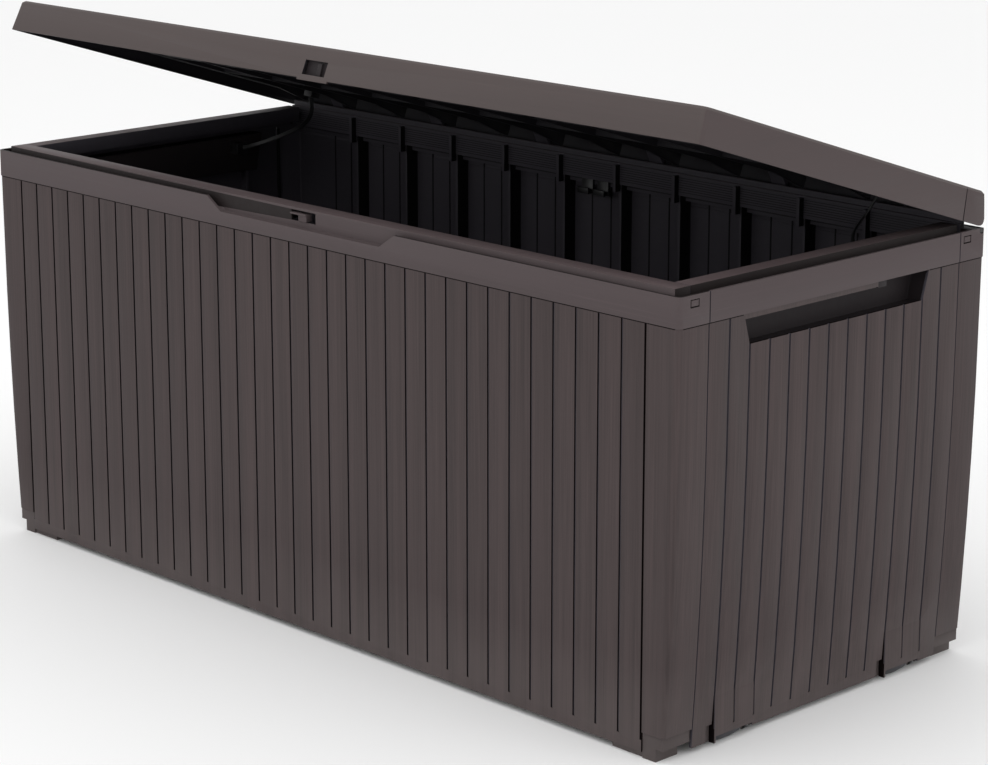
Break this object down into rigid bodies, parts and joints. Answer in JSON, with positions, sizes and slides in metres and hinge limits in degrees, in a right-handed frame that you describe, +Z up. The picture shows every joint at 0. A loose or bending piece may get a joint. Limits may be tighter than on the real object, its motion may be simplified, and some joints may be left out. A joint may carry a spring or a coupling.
{
  "type": "storage bench",
  "caption": "Resin storage bench with planked walls, a hinged lid held by check straps, handle recesses in the ends and rollers under one end.",
  "frame": {"origin": "centre of the footprint on the floor, at the level of the feet", "axes": "+X along the width towards the roller end, -Y towards the front, +Z up"},
  "size_m": [1.23, 0.528, 0.7214],
  "materials": {
    "resin": "brown-grey resin moulded with a fine wood grain",
    "inner_resin": "near-black smooth moulded resin",
    "black_plastic": "black satin plastic",
    "steel": "dark plain steel"
  },
  "bodies": {
    "box": {"front_panel": "resin", "back_panel": "resin", "side_panel_left": "resin", "side_panel_right": "resin", "base_pan": "resin", "handle_pocket_left": "inner_resin", "handle_pocket_right": "inner_resin", "corner_snap_front_left": "resin", "corner_snap_front_right": "resin", "corner_snap_rear_left": "resin", "corner_snap_rear_right": "resin", "latch_keeper": "resin", "hook_left": "black_plastic", "hook_right": "black_plastic", "strap_socket_left": "black_plastic", "strap_socket_right": "black_plastic", "lid_strap_left": "black_plastic", "lid_strap_right": "black_plastic", "hinge_rod": "black_plastic", "axle_front": "steel", "axle_clip_front": "black_plastic", "axle_rear": "steel", "axle_clip_rear": "black_plastic"},
    "lid": {"lid_shell": "resin", "lid_liner": "inner_resin", "lid_knuckle_1": "inner_resin", "lid_knuckle_2": "inner_resin", "lid_knuckle_3": "inner_resin", "lid_knuckle_4": "inner_resin", "lid_knuckle_5": "inner_resin", "lid_knuckle_6": "inner_resin", "latch_tongue": "resin", "strap_anchor_left": "black_plastic", "strap_anchor_right": "black_plastic"},
    "roller_front": {"roller_front": "black_plastic"},
    "roller_rear": {"roller_rear": "black_plastic"}
  },
  "joints": [
    {"name": "lid_hinge", "type": "hinge", "parent": "box", "child": "lid", "pos_m": [0, 0.256, 0.523], "axis": [-1, 0, 0], "range_deg": [-17.7, 57.3], "deforming": ["lid_strap_left", "lid_strap_right"]},
    {"name": "roller_front_spin", "type": "hinge", "parent": "box", "child": "roller_front", "pos_m": [0.588, -0.1535, 0.0103], "axis": [0, 1, 0], "continuous": true},
    {"name": "roller_rear_spin", "type": "hinge", "parent": "box", "child": "roller_rear", "pos_m": [0.588, 0.1453, 0.0103], "axis": [0, 1, 0], "continuous": true}
  ]
}
